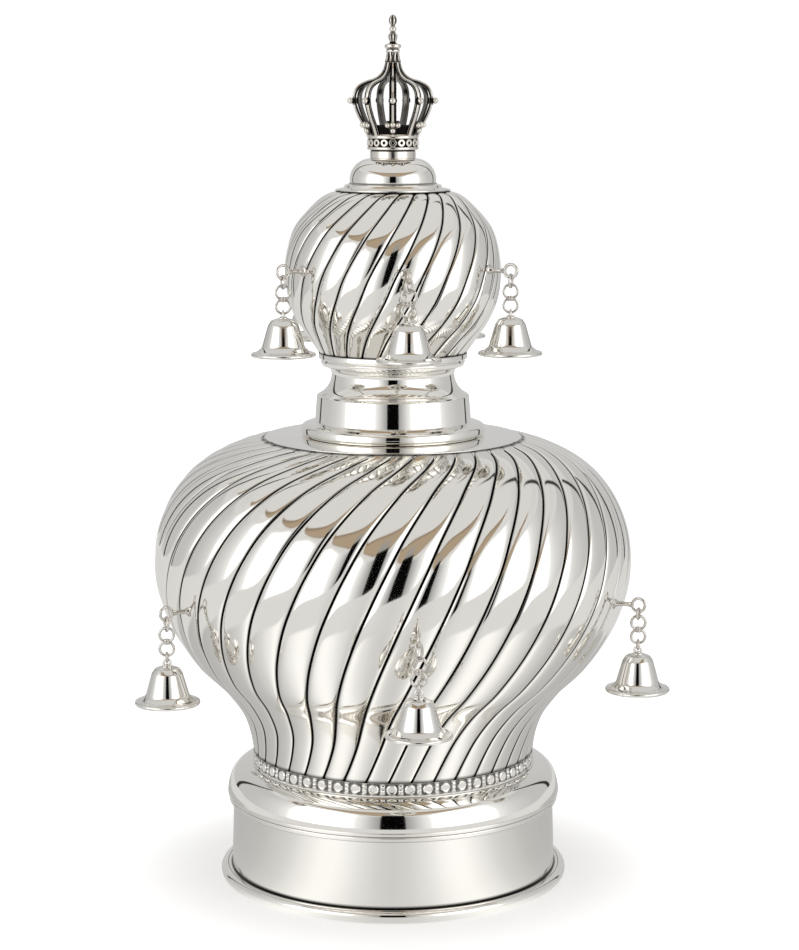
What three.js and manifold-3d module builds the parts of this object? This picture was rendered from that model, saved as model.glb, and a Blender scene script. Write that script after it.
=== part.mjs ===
// Torah crown of polished silver: a drum on a rolled foot, a cushion shoulder, a narrow
// decorated band, two onion bulbs with spiral flutes joined by a turned neck, a domed cap and
// a small cast crown with a spire. Two tiers of five bells hang on short chains from studs.
//
// Millimetres, +Z up. The origin is on the crown's axis, in the plane that it stands on.
// Azimuths are in degrees, from -Y (0) towards +X (90).

import * as THREE from 'three';
import { mergeVertices } from 'three/addons/utils/BufferGeometryUtils.js';
import Module from 'manifold-3d';

const wasm = await Module();
wasm.setup();

// ---- Driving dimensions ----------------------------------------------------------------

const SHEET = 1.2; // wall of the spun and raised shells
const ROUND_SIDES = 32; // facets around the widest turned pieces
const FACING = 40; // azimuth that the chains' round rings face

// Heights of the joints between the stacked pieces
const DRUM_TOP = 36.2;
const SHOULDER_TOP = 53.9;
const BAND_TOP = 60.2;
const LOWER_TOP = 207.6;
const NECK_TOP = 247.3;
const UPPER_TOP = 320.9;
const CAP_TOP = 335.6;
const OVERALL = 400;

const FOOT_RADIUS = 81.3;
const DRUM_RADIUS = 75.3;
const DRUM_FLARE = 0.9; // how much wider the drum is at its foot
const FOOT_HEIGHT = 5.4;
const BAND_RADIUS = 66.4;
const DISC_RADIUS = 59.3; // flat plate of the neck that covers the lower bulb

// Bulb outlines: radius, height and how far the flutes have turned there
const LOWER_BULB = {
  flutes: 40,
  levels: 9,
  depth: 1.8,
  outline: [
    [65.7, BAND_TOP, 20.4], [67.6, 70, 24.3], [72.6, 82, 28.2], [83.4, 95, 31.6],
    [97.0, 109, 35.1], [106.2, 127, 39.1], [110.8, 148, 43.7], [109.3, 165, 48.0],
    [101.8, 182, 53.2], [88.7, 196, 60.3], [74.0, 204.1, 68.7], [60.2, LOWER_TOP, 76.0],
  ],
};
const UPPER_BULB = {
  flutes: 26,
  levels: 7,
  depth: 1.4,
  outline: [
    [34.3, NECK_TOP, 2.4], [38.9, 254, 7.7], [44.6, 262.4, 14.2], [48.5, 273, 21.2],
    [49.7, 284, 27.5], [48.3, 295.3, 34.6], [44.7, 305, 41.2], [38.4, 313, 48.4],
    [31.6, 318.7, 56.2], [25.7, UPPER_TOP, 62.0],
  ],
};

// Finial crown
const FINIAL = {
  bandRadius: 11.9,
  bandTop: 346.6,
  arches: 9,
  archWidth: 3.1,
  archThickness: 1.4,
  clusters: 6,
  pearl: 1.45,
};

// Bells, studs and chains
const BELL_RADIUS = 15;
const WIRE = 1.3;
const EYE = { radius: 3.0, wire: 1.4 };
const RING_RADIUS = 3.15;
const LINK_HALF_WIDTH = 2.5;
const LOOP = { halfWidth: 1.9, radius: 1.5, wire: 1.1, height: 19.2 };
const CLEARANCE = 0.3; // between a link and the next piece's eye
const HANGING_LINK = 4.0; // height of the extra link on the long chains
const TIERS = [
  {
    name: 'lower',
    bulb: LOWER_BULB,
    height: 138,
    eyeRadius: 120.3,
    longChain: true,
    bells: [
      { azimuth: -16.1, drop: 41.0 },
      { azimuth: 45.3, drop: 42.4 },
      { azimuth: 106.4, drop: 39.6 },
      { azimuth: 191, drop: 41.0 },
      { azimuth: 260, drop: 41.0 },
    ],
  },
  {
    name: 'upper',
    bulb: UPPER_BULB,
    height: 286.3,
    eyeRadius: 59.9,
    longChain: false,
    bells: [
      { azimuth: -14.7, drop: 38.0 },
      { azimuth: 46.9, drop: 38.0 },
      { azimuth: 101.8, drop: 38.0 },
      { azimuth: 190, drop: 38.0 },
      { azimuth: 262, drop: 38.0 },
    ],
  },
];

// ---- Materials --------------------------------------------------------------------------

function silver(color, roughness) {
  return new THREE.MeshStandardMaterial({ color, roughness, metalness: 1 });
}

const POLISHED = () => silver(0xe8e6e1, 0.12);
const SATIN = () => silver(0xd9d7d2, 0.22);
const OXIDISED = () => silver(0x8f8b84, 0.3);

// ---- Geometry helpers -------------------------------------------------------------------

const rad = THREE.MathUtils.degToRad;
const UP = new THREE.Vector3(0, 0, 1);

// Spins an outline of [radius, height] pairs around Z.
function spin(outline, sides) {
  const points = outline.map(([radius, height]) => new THREE.Vector2(radius, height));
  return new THREE.LatheGeometry(points, sides).rotateX(Math.PI / 2);
}

// Spins the section between an outer and an inner outline, both listed upwards.
function spinShell(outer, inner, sides) {
  return spin([...outer, ...[...inner].reverse(), outer[0]], sides);
}

// Pushes an outline inwards, to give the inner face of a sheet.
function inset(outline, thickness) {
  return outline.map(([radius, height]) => [radius - thickness, height]);
}

function toSolid(geometry) {
  const bare = geometry.clone();
  bare.deleteAttribute('normal');
  bare.deleteAttribute('uv');
  const merged = mergeVertices(bare, 1e-4);
  const index = merged.index.array;
  const kept = [];
  for (let i = 0; i < index.length; i += 3) {
    const [a, b, c] = [index[i], index[i + 1], index[i + 2]];
    if (a !== b && b !== c && c !== a) kept.push(a, b, c);
  }
  return new wasm.Manifold(new wasm.Mesh({
    numProp: 3,
    vertProperties: Float32Array.from(merged.attributes.position.array),
    triVerts: Uint32Array.from(kept),
  }));
}

function toGeometry(solid) {
  const mesh = solid.getMesh();
  const geometry = new THREE.BufferGeometry();
  geometry.setAttribute('position', new THREE.BufferAttribute(mesh.vertProperties, mesh.numProp));
  geometry.setIndex(new THREE.BufferAttribute(mesh.triVerts, 1));
  return geometry;
}

function fuse(geometries) {
  return toGeometry(geometries.map(toSolid).reduce((whole, piece) => whole.add(piece)));
}

function cut(geometry, tool) {
  return toGeometry(toSolid(geometry).subtract(toSolid(tool)));
}

// A round wire ring with its axis along Z, as wide and long as asked along X and Y. Its ends
// along Y are flats, and its three-sided section has an edge on the inside: that is where it
// bears on the next link.
function wireRing(halfWidth, halfLength, wire) {
  const SIDES = 6;
  const corner = halfLength / Math.cos(Math.PI / SIDES);
  const back = corner + wire / 4;
  const side = (wire / 4) * Math.sqrt(3);
  const section = [[corner - wire / 2, 0], [back, -side], [back, side]];
  return spin([...section, section[0]], SIDES)
    .rotateZ(Math.PI / SIDES)
    .scale(halfWidth / corner, 1, 1);
}

// The same ring hung upright: its long way along Z, its plane turned to face an azimuth.
function hungRing(halfWidth, halfHeight, wire, azimuth, height) {
  return wireRing(halfWidth, halfHeight, wire)
    .rotateX(Math.PI / 2)
    .rotateZ(rad(azimuth))
    .translate(0, 0, height);
}

// ---- Turned pieces ----------------------------------------------------------------------

function baseDrum() {
  const ROLL = 2.7; // radius of the rolled foot
  const ROLL_STEPS = 3;
  const foot = [];
  for (let step = 0; step <= ROLL_STEPS; step += 1) {
    const angle = -Math.PI / 2 + (Math.PI * step) / ROLL_STEPS;
    foot.push([FOOT_RADIUS - ROLL + ROLL * Math.cos(angle), ROLL + ROLL * Math.sin(angle)]);
  }
  const footWall = DRUM_RADIUS + DRUM_FLARE;
  const outer = [[footWall - SHEET, 0], ...foot, [footWall, FOOT_HEIGHT], [DRUM_RADIUS, DRUM_TOP]];
  const inner = [[DRUM_RADIUS - SHEET, DRUM_TOP]];
  return spinShell(outer, inner, ROUND_SIDES);
}

function baseShoulder() {
  const outer = [
    [77.0, DRUM_TOP], [78.0, 38.6], [77.3, 41.4], [75.6, 46.8],
    [71.4, 51.4], [BAND_RADIUS - 0.4, SHOULDER_TOP],
  ];
  const inner = [[74.2, DRUM_TOP], [74.2, 45.4], [64.7, SHOULDER_TOP]];
  return spinShell(outer, inner, ROUND_SIDES);
}

function galleryBand() {
  const outer = [[BAND_RADIUS, SHOULDER_TOP], [BAND_RADIUS - 0.5, BAND_TOP]];
  return spinShell(outer, inset(outer, SHEET), ROUND_SIDES);
}

function neck() {
  const outer = [
    [DISC_RADIUS, LOWER_TOP], [DISC_RADIUS - 0.4, 208.3], [43.0, 209.7], [41.2, 212.8],
    [35.9, 215.6], [35.1, 226.7], [31.0, 229.9], [29.6, 235.8], [30.8, 242.3],
    [34.2, 245.8], [34.2, NECK_TOP],
  ];
  const inner = [
    [57.6, LOWER_TOP], [41.5, 208.1], [33.7, 214.4], [33.7, 225.4],
    [28.2, 235.6], [32.2, NECK_TOP],
  ];
  return spinShell(outer, inner, 22);
}

function cap() {
  const outer = [
    [26.3, UPPER_TOP], [26.2, 321.8], [20.6, 324.6], [19.4, 328.6],
    [16.9, 333.1], [12.0, CAP_TOP], [0, CAP_TOP],
  ];
  const inner = [[0, CAP_TOP - SHEET], [15.2, 332.4], [18.4, 326.0], [24.4, UPPER_TOP]];
  return spin([...inner, ...outer], 18);
}

// ---- Fluted bulbs -----------------------------------------------------------------------

// The outline's rows of vertices, as x: radius, y: height and z: turn.
function bulbRows({ levels, outline }) {
  const knots = outline.map(([radius, height, turn]) => new THREE.Vector3(radius, height, turn));
  return new THREE.CatmullRomCurve3(knots).getPoints(levels);
}

// A spun outline whose vertices are drawn in at every second side and turned with height,
// so that each groove runs up the bulb as one slanting line.
function flutedBulb(bulb) {
  const { flutes, levels, depth } = bulb;
  const GROOVE_WALL = 0.9;
  const INNER_SIDES = 20;
  const rows = bulbRows(bulb);
  const profile = rows.map((row) => [row.x, row.y]);
  const [bottom, top] = [profile[0][1], profile[levels][1]];

  const sides = 2 * flutes;
  const outer = spin([[0, bottom], ...profile, [0, top]], sides);
  const position = outer.attributes.position;
  const perSide = profile.length + 2;
  const vertex = new THREE.Vector3();
  for (let side = 0; side <= sides; side += 1) {
    for (let level = 0; level <= levels; level += 1) {
      const index = side * perSide + level + 1;
      const drawIn = side % 2 === 0 ? depth : 0;
      vertex.fromBufferAttribute(position, index);
      const scale = (rows[level].x - drawIn) / rows[level].x;
      vertex.multiply(new THREE.Vector3(scale, scale, 1));
      vertex.applyAxisAngle(UP, rad(rows[level].z));
      position.setXYZ(index, vertex.x, vertex.y, vertex.z);
    }
  }

  const hollow = inset(profile, depth + GROOVE_WALL);
  const [mouth, crown] = [hollow[0][0], hollow[levels][0]];
  const core = [[0, bottom - 1], [mouth, bottom - 1], ...hollow, [crown, top + 1], [0, top + 1]];
  return cut(outer, spin(core, INNER_SIDES));
}

// Radius of a bulb's fluted face at a height and an azimuth.
function faceRadius(bulb, height, azimuth) {
  const rows = bulbRows(bulb);
  const above = rows.findIndex((row) => row.y > height);
  const [low, high] = [rows[above - 1], rows[above]];
  const row = low.clone().lerp(high, (height - low.y) / (high.y - low.y));
  const flute = 360 / bulb.flutes;
  const across = THREE.MathUtils.euclideanModulo(azimuth - row.z, flute) / flute;
  return row.x - bulb.depth * Math.abs(2 * across - 1);
}

// ---- Finial crown -----------------------------------------------------------------------

// One strap of the cage, bent from the band out over the belly and in to the column.
function arch(azimuth) {
  const route = new THREE.CatmullRomCurve3([
    [10.8, 345.8], [13.5, 351.4], [17.3, 358.6], [18.1, 364.2],
    [14.6, 368.6], [9.4, 370.6], [4.9, 372.6],
  ].map(([radius, height]) => new THREE.Vector3(0, -radius, height)));
  const half = { width: FINIAL.archWidth / 2, thickness: FINIAL.archThickness / 2 };
  const section = new THREE.Shape([
    new THREE.Vector2(-half.thickness, -half.width), new THREE.Vector2(half.thickness, -half.width),
    new THREE.Vector2(half.thickness, half.width), new THREE.Vector2(-half.thickness, half.width),
  ]);
  const strap = new THREE.ExtrudeGeometry(section, { steps: 5, extrudePath: route });
  return strap.rotateZ(rad(azimuth));
}

function pearl(radius, height, azimuth) {
  return new THREE.OctahedronGeometry(FINIAL.pearl).translate(0, -radius, height).rotateZ(rad(azimuth));
}

// Three pearls in a row with a fourth below them, on a stalk that leans out of the band: one
// plate cut to their common outline, in units of the pearl's radius, and as thick as a pearl.
function pearlCluster(azimuth) {
  const { pearl: unit } = FINIAL;
  const LEAN = 30;
  const THICKNESS = 1.6;
  const half = [[0, 1], [1, 0.4], [2, 1], [3, 0], [1.1, -2.6], [0.75, -4.1]];
  const mirrored = half.slice(1).reverse().map(([across, up]) => [-across, up]);
  const outline = new THREE.Shape([...half, ...mirrored].reverse()
    .map(([across, up]) => new THREE.Vector2(across * unit, up * unit)));
  return new THREE.ExtrudeGeometry(outline, { depth: THICKNESS * unit, bevelEnabled: false })
    .translate(0, 0, (-THICKNESS * unit) / 2)
    .rotateX(rad(90 + LEAN))
    .translate(0, -14.9, 351.3)
    .rotateZ(rad(azimuth));
}

function finialCrown() {
  const { bandRadius, bandTop } = FINIAL;
  const band = spin([
    [0, CAP_TOP], [10.4, CAP_TOP], [10.4, 339.6], [bandRadius, 340.2],
    [bandRadius, bandTop], [9.2, bandTop], [9.2, 341.2], [0, 341.2],
  ], 18);
  const spire = spin([
    [0, 370.6], [5.5, 371.0], [5.4, 373.6], [3.2, 376.6], [3.8, 382.4], [4.2, 386.4],
    [1.9, 388.0], [2.9, 390.8], [1.2, 392.8], [1.9, 394.2], [0.9, 395.4], [1.9, 397.4],
    [0, OVERALL],
  ], 8);
  const pieces = [band, spire];
  for (let i = 0; i < FINIAL.arches; i += 1) {
    const azimuth = FACING + (360 / FINIAL.arches) * i;
    pieces.push(arch(azimuth), pearl(19.4, 361.6, azimuth));
  }
  for (let i = 0; i < FINIAL.clusters; i += 1) {
    pieces.push(pearlCluster(FACING + (360 / FINIAL.clusters) * i));
  }
  return fuse(pieces);
}

// ---- Bells ------------------------------------------------------------------------------

// Stud in its own frame: its foot is at the origin and its eye lies outwards, along -Y.
function stud(reach) {
  const STEM = 0.9;
  const BOSS = { foot: 2.6, face: 2.2, height: 1.2 };
  const end = reach - EYE.radius;
  const stem = spin([
    [0, 0], [BOSS.foot, 0], [BOSS.face, BOSS.height], [STEM, BOSS.height + 0.6], [0.5, end],
    [0, end],
  ], 5).rotateX(Math.PI / 2);
  const eye = wireRing(EYE.radius, EYE.radius, EYE.wire)
    .rotateY(Math.PI / 2)
    .translate(0, -reach, 0);
  return fuse([stem, eye]);
}

// The azimuth that a chain's top link faces: well across both the stud's eye and the rings.
function linkAzimuth(studAzimuth) {
  const SHARE = 0.42;
  const eye = THREE.MathUtils.euclideanModulo(studAzimuth - FACING + 90, 180);
  const across = eye > 90 ? SHARE * eye : 180 - SHARE * (180 - eye);
  return FACING + across;
}

// Two round rings bound together where they meet, one above the other: a plate as thick as
// their wire, with a six-sided eye in each half and flats at the top and the bottom.
function ringPair() {
  const corner = (radius) => radius / Math.cos(Math.PI / 6);
  const at = (radius, degrees, centre) => new THREE.Vector2(
    corner(radius) * Math.cos(rad(degrees)),
    centre + corner(radius) * Math.sin(rad(degrees)),
  );
  const [outside, inside] = [RING_RADIUS + WIRE / 2, RING_RADIUS - WIRE / 2];
  const upper = [0, 60, 120, 180].map((degrees) => at(outside, degrees, RING_RADIUS));
  const lower = [180, 240, 300, 360].map((degrees) => at(outside, degrees, -RING_RADIUS));
  const waist = 0.58 * corner(outside);
  const pair = new THREE.Shape([
    ...upper, new THREE.Vector2(-waist, 0), ...lower, new THREE.Vector2(waist, 0),
  ]);
  for (const centre of [RING_RADIUS, -RING_RADIUS]) {
    const eye = [0, 60, 120, 180, 240, 300].map((degrees) => at(inside, degrees, centre));
    pair.holes.push(new THREE.Path(eye));
  }
  return new THREE.ExtrudeGeometry(pair, { depth: WIRE, bevelEnabled: false })
    .translate(0, 0, -WIRE / 2)
    .rotateX(Math.PI / 2)
    .rotateZ(rad(FACING));
}

// Chain hung from the eye's centre, measured up from the plane of the bell's rim.
function chain(drop, longChain, azimuth) {
  const loopTop = LOOP.height + LOOP.radius;
  const gripBelow = (WIRE + LOOP.wire) / 2 + CLEARANCE;
  const gripAbove = (WIRE + EYE.wire) / 2 + CLEARANCE;
  const overlap = 0.8 * WIRE;
  const pieces = [];
  let bottom = loopTop - gripBelow;
  if (longChain) {
    const half = HANGING_LINK / 2;
    pieces.push(hungRing(1.5, half, WIRE, FACING + 90, bottom + half));
    bottom += HANGING_LINK - overlap;
  }
  pieces.push(ringPair().translate(0, 0, bottom + 2 * RING_RADIUS));
  const linkBottom = bottom + 4 * RING_RADIUS - overlap;
  const linkTop = drop - EYE.radius + gripAbove;
  const half = (linkTop - linkBottom) / 2;
  pieces.push(hungRing(LINK_HALF_WIDTH, half, WIRE, linkAzimuth(azimuth), linkBottom + half));
  return fuse(pieces);
}

// The loop on the dome faces the given azimuth, across the ring or link that it hangs on.
function bell(azimuth) {
  const body = spin([
    [0, 16.0], [6.4, 13.6], [13.4, 0], [BELL_RADIUS, 0.9], [14.2, 1.9],
    [11.3, 3.2], [8.0, 13.0], [5.2, 16.6], [0, 17.8],
  ], 10);
  const loop = hungRing(LOOP.halfWidth, LOOP.radius, LOOP.wire, 0, LOOP.height);
  return fuse([body, loop]).rotateZ(rad(azimuth));
}

function clapper() {
  return spin([[0, 3.6], [2.3, 5.6], [0.8, 8.0], [0.5, 15.5], [0, 15.5]], 4);
}

// ---- Assembly ---------------------------------------------------------------------------

const crown = new THREE.Group();

function add(parent, name, geometry, material) {
  const mesh = new THREE.Mesh(geometry, material);
  mesh.name = name;
  parent.add(mesh);
  return mesh;
}

add(crown, 'base_drum', baseDrum(), POLISHED());
add(crown, 'base_shoulder', baseShoulder(), POLISHED());
add(crown, 'gallery_band', galleryBand(), SATIN());
add(crown, 'lower_bulb', flutedBulb(LOWER_BULB), POLISHED());
add(crown, 'neck', neck(), POLISHED());
add(crown, 'upper_bulb', flutedBulb(UPPER_BULB), POLISHED());
add(crown, 'cap', cap(), POLISHED());
add(crown, 'finial_crown', finialCrown(), OXIDISED());

const FOOT_GAP = 1.0; // from a stud's foot to the face that slopes away under it
for (const { name, bulb, height, eyeRadius, longChain, bells } of TIERS) {
  bells.forEach(({ azimuth, drop }, index) => {
    const label = `${name}_${index + 1}`;
    const arm = new THREE.Group();
    arm.rotation.z = rad(azimuth);
    const foot = faceRadius(bulb, height, azimuth) + FOOT_GAP;
    add(arm, `${label}_stud`, stud(eyeRadius - foot), POLISHED()).position.set(0, -foot, height);
    crown.add(arm);

    const hanging = new THREE.Group();
    const eye = new THREE.Vector3(0, -eyeRadius, height).applyAxisAngle(UP, rad(azimuth));
    hanging.position.set(eye.x, eye.y, height - drop);
    add(hanging, `${label}_chain`, chain(drop, longChain, azimuth), POLISHED());
    add(hanging, `${label}_bell`, bell(longChain ? FACING : FACING - 90), POLISHED());
    add(hanging, `${label}_clapper`, clapper(), SATIN());
    crown.add(hanging);
  });
}

export default crown;
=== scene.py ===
"""Torah crown of polished silver: a drum on a rolled foot, a cushion shoulder, a chased gallery
band, two fluted onion bulbs joined by a turned neck, a domed cap and a small cast crown with a
spire. Two tiers of five bells hang on short chains from studs on the bulbs.

Sizes below are in millimetres and are turned into metres when a mesh is made. +Z is up, and
azimuths run in degrees from -Y (0) towards +X (90)."""

import math

import bpy
import numpy as np
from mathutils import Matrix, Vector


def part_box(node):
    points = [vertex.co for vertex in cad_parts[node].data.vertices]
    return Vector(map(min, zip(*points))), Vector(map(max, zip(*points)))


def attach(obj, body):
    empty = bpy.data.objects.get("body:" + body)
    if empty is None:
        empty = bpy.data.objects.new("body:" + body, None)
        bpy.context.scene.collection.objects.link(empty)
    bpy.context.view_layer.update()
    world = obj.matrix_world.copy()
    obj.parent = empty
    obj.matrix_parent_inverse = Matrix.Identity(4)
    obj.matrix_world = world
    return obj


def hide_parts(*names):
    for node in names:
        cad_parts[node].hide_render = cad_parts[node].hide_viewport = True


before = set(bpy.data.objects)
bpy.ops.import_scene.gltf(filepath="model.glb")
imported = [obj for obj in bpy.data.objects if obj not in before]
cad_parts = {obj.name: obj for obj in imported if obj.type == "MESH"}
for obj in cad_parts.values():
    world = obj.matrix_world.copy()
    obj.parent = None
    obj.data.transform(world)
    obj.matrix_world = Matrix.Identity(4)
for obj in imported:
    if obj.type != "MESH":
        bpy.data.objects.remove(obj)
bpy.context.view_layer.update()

MM = 0.001
FACING = 40  # azimuth that the camera stands at, and that the chains' round rings face


def bottom_of(node):
    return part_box(node)[0].z / MM


def top_of(node):
    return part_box(node)[1].z / MM


# ---- Heights and radii of the stacked pieces ------------------------------------------------

DRUM_TOP = top_of("base_drum")
BAND_BOTTOM = bottom_of("gallery_band")
BAND_TOP = top_of("gallery_band")
LOWER_TOP = top_of("lower_bulb")
NECK_TOP = bottom_of("upper_bulb")
UPPER_TOP = top_of("upper_bulb")
CAP_TOP = top_of("cap")
OVERALL = top_of("finial_crown")

SHEET = 1.2
DRUM_RADIUS = 75.2
BAND_RADIUS = 66.2

# Bulb outlines along the crests of the flutes: radius, height and how far a flute has turned.
# The radii and turns came from a scratch script that fitted the photo, as report.md says.
LOWER_OUTLINE = [
    (65.7, BAND_TOP, 20.4), (67.0, 68.0, 23.5), (70.3, 78.0, 27.0), (78.7, 90.0, 30.3),
    (92.5, 104.0, 33.9), (104.0, 122.0, 38.0), (110.25, 142.0, 42.4), (109.8, 162.0, 47.2),
    (104.2, 178.0, 51.8), (95.7, 190.0, 57.0), (86.0, 197.9, 62.2), (72.0, 204.6, 70.5),
    (60.0, LOWER_TOP, 76.5),
]
UPPER_OUTLINE = [
    (34.3, NECK_TOP, 2.4), (38.85, 254.0, 7.7), (44.4, 262.0, 14.2), (48.3, 272.0, 21.2),
    (49.6, 284.0, 27.5), (48.1, 296.0, 35.0), (44.7, 305.0, 41.2), (38.0, 313.2, 48.8),
    (31.0, 319.0, 56.5), (25.7, UPPER_TOP, 62.0),
]


# ---- Mesh helpers ---------------------------------------------------------------------------

class Part:
    """Vertices in millimetres, faces that index them, and the tarnish and shade (0 to 1) at each
    vertex: oxide in most places, and painted shade along a few joints.
    """

    def __init__(self, vertices, faces, tarnish_and_shade=None):
        self.vertices = np.asarray(vertices, float)
        self.faces = faces
        count = len(self.vertices)
        self.tarnish_and_shade = np.zeros(count) if tarnish_and_shade is None else np.asarray(tarnish_and_shade, float)

    def moved(self, x=0.0, y=0.0, z=0.0):
        return Part(self.vertices + (x, y, z), self.faces, self.tarnish_and_shade)

    def rotated(self, degrees, first, second):
        """Turned from one axis towards another. The axes are 0, 1 or 2, for X, Y or Z."""
        angle = math.radians(degrees)
        turn = np.identity(3)
        turn[first, first] = turn[second, second] = math.cos(angle)
        turn[first, second] = -math.sin(angle)
        turn[second, first] = math.sin(angle)
        return Part(self.vertices @ turn.T, self.faces, self.tarnish_and_shade)

    def turned(self, azimuth):
        """About the crown's axis."""
        return self.rotated(azimuth, 0, 1)

    def pitched(self, degrees):
        """About the X axis. At 90, what pointed up points outwards, along -Y."""
        return self.rotated(degrees, 1, 2)


def joined(parts):
    vertices, faces, tarnish_and_shade, start = [], [], [], 0
    for part in parts:
        vertices.append(part.vertices)
        tarnish_and_shade.append(part.tarnish_and_shade)
        faces += [tuple(i + start for i in face) for face in part.faces]
        start += len(part.vertices)
    return Part(np.vstack(vertices), faces, np.concatenate(tarnish_and_shade))


def skin(grid, wrap_rows=False, tarnish_and_shade=None):
    """Closed in columns, and in rows if asked. A row whose points coincide becomes one point."""
    rows, columns = grid.shape[:2]
    index = np.arange(rows * columns).reshape(rows, columns)
    for row in range(rows):
        if np.ptp(grid[row], axis=0).max() < 1e-6:
            index[row] = index[row, 0]
    last = rows if wrap_rows else rows - 1
    low = index[np.arange(last)]
    high = index[(np.arange(last) + 1) % rows]
    quads = np.stack([low, np.roll(low, -1, 1), np.roll(high, -1, 1), high], -1).reshape(-1, 4)
    used, flat = np.unique(quads, return_inverse=True)
    quads = flat.reshape(-1, 4)
    vertices = grid.reshape(-1, 3)[used]
    faces = [tuple(dict.fromkeys(quad)) for quad in quads.tolist()]
    faces = [face for face in faces if len(face) > 2]
    if signed_volume(vertices, faces) < 0:
        faces = [face[::-1] for face in faces]
    shade = None if tarnish_and_shade is None else tarnish_and_shade.reshape(-1)[used]
    return Part(vertices, faces, shade)


def signed_volume(vertices, faces):
    corners = np.array([(f[0], f[i], f[i + 1]) for f in faces for i in range(1, len(f) - 1)])
    a, b, c = vertices[corners[:, 0]], vertices[corners[:, 1]], vertices[corners[:, 2]]
    return np.einsum("ij,ij->i", a, np.cross(b, c)).sum()


def ring_of(radius, height, angles):
    """Points round the axis at the given azimuths, in radians."""
    return np.stack([radius * np.sin(angles), -radius * np.cos(angles),
                     height + 0 * angles], -1)


def lathe(outline, columns, closed=True, tarnish_and_shade=None):
    """Spins an outline of (radius, height) points. The tarnish and shade function takes the
    outline's points.
    """
    angles = np.arange(columns) * 2 * math.pi / columns
    grid = np.array([ring_of(radius, height, angles) for radius, height in outline])
    shade = None
    if tarnish_and_shade is not None:
        shade = np.array([[tarnish_and_shade(radius, height)] * columns for radius, height in outline])
    return skin(grid, wrap_rows=closed, tarnish_and_shade=shade)


ARC_STEP = 0.22  # radians, at most, between two points on a rounded corner


def rounded(corners, step=1.2, closed=True):
    """A polygon of (radius, height, rounding) corners, each drawn as an arc of that radius, with
    the straight stretches divided so that the shading stays flat on them."""
    points = [np.array(corner[:2], float) for corner in corners]
    path = []
    for i, corner in enumerate(corners):
        here = points[i]
        rounding = corner[2] if len(corner) > 2 else 0
        ends = not closed and i in (0, len(corners) - 1)
        if rounding <= 0 or ends:
            path.append(here)
            continue
        before, after = points[i - 1], points[(i + 1) % len(points)]
        u = (before - here) / np.linalg.norm(before - here)
        v = (after - here) / np.linalg.norm(after - here)
        half = math.acos(max(-1.0, min(1.0, float(u @ v)))) / 2
        reach = rounding / math.tan(half)
        centre = here + (u + v) / np.linalg.norm(u + v) * rounding / math.sin(half)
        first, last = here + u * reach - centre, here + v * reach - centre
        sweep = math.pi - 2 * half
        turn = np.sign(first[0] * last[1] - first[1] * last[0])
        steps = max(2, math.ceil(sweep / ARC_STEP))
        for k in range(steps + 1):
            angle = turn * sweep * k / steps
            c, s = math.cos(angle), math.sin(angle)
            path.append(centre + (c * first[0] - s * first[1], s * first[0] + c * first[1]))
    dense = []
    count = len(path) if closed else len(path) - 1
    for i in range(count):
        start, end = path[i], path[(i + 1) % len(path)]
        length = np.linalg.norm(end - start)
        parts = max(1, math.ceil(length / step))
        dense += [start + (end - start) * k / parts for k in range(parts)]
    if not closed:
        dense.append(path[-1])
    return [(max(0.0, p[0]), p[1]) for p in dense]


def spline(knots, count, per_gap=40):
    """Evenly spaced points on a centripetal Catmull-Rom curve through the knots. Only the first
    two values of a knot set the spacing, and a third is carried along."""
    knots = np.array(knots, float)
    p = np.vstack([2 * knots[0] - knots[1], knots, 2 * knots[-1] - knots[-2]])
    gaps = np.sqrt(np.linalg.norm(np.diff(p[:, :2], axis=0), axis=1))
    t = np.concatenate([[0], np.cumsum(gaps)])

    def between(s, a, b, at_a, at_b):
        return ((t[b] - s) * at_a + (s - t[a]) * at_b) / (t[b] - t[a])

    fine = []
    for i in range(1, len(p) - 2):
        for s in np.linspace(t[i], t[i + 1], per_gap, endpoint=False):
            a1 = between(s, i - 1, i, p[i - 1], p[i])
            a2 = between(s, i, i + 1, p[i], p[i + 1])
            a3 = between(s, i + 1, i + 2, p[i + 1], p[i + 2])
            b1 = between(s, i - 1, i + 1, a1, a2)
            b2 = between(s, i, i + 2, a2, a3)
            fine.append(between(s, i, i + 1, b1, b2))
    fine = np.array(fine + [p[-2]])
    run = np.concatenate([[0], np.cumsum(np.linalg.norm(np.diff(fine[:, :2], axis=0), axis=1))])
    at = np.linspace(0, run[-1], count)
    return np.stack([np.interp(at, run, fine[:, k]) for k in range(fine.shape[1])], -1)


def sweep(route, section, side=(1, 0, 0), scale=None, tarnish_and_shade=None, closed=False):
    """Carries a closed section of (across, out) points along a route. across runs along side, and
    out is square to the route. Open ends are capped."""
    route, section = np.array(route, float), np.array(section, float)
    if closed:
        along = np.roll(route, -1, 0) - np.roll(route, 1, 0)
    else:
        along = np.gradient(route, axis=0)
    along /= np.linalg.norm(along, axis=1)[:, None]
    out = np.cross(along, np.array(side, float))
    out /= np.linalg.norm(out, axis=1)[:, None]
    across = np.cross(out, along)
    widths = np.ones((len(route), 2)) if scale is None else np.array(scale, float)
    grid = (route[:, None] + section[None, :, :1] * widths[:, None, :1] * across[:, None]
            + section[None, :, 1:] * widths[:, None, 1:] * out[:, None])
    shade = None
    if tarnish_and_shade is not None:
        shade = np.tile(np.array(tarnish_and_shade, float), (len(route), 1))
    if not closed:
        grid = np.concatenate([grid[:1].mean(1, keepdims=True).repeat(grid.shape[1], 1), grid,
                               grid[-1:].mean(1, keepdims=True).repeat(grid.shape[1], 1)])
        if shade is not None:
            shade = np.concatenate([shade[:1], shade, shade[-1:]])
    return skin(grid, wrap_rows=closed, tarnish_and_shade=shade)


def circle(radius, sides):
    angles = np.arange(sides) * 2 * math.pi / sides
    return np.stack([radius * np.cos(angles), radius * np.sin(angles)], -1)


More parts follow.
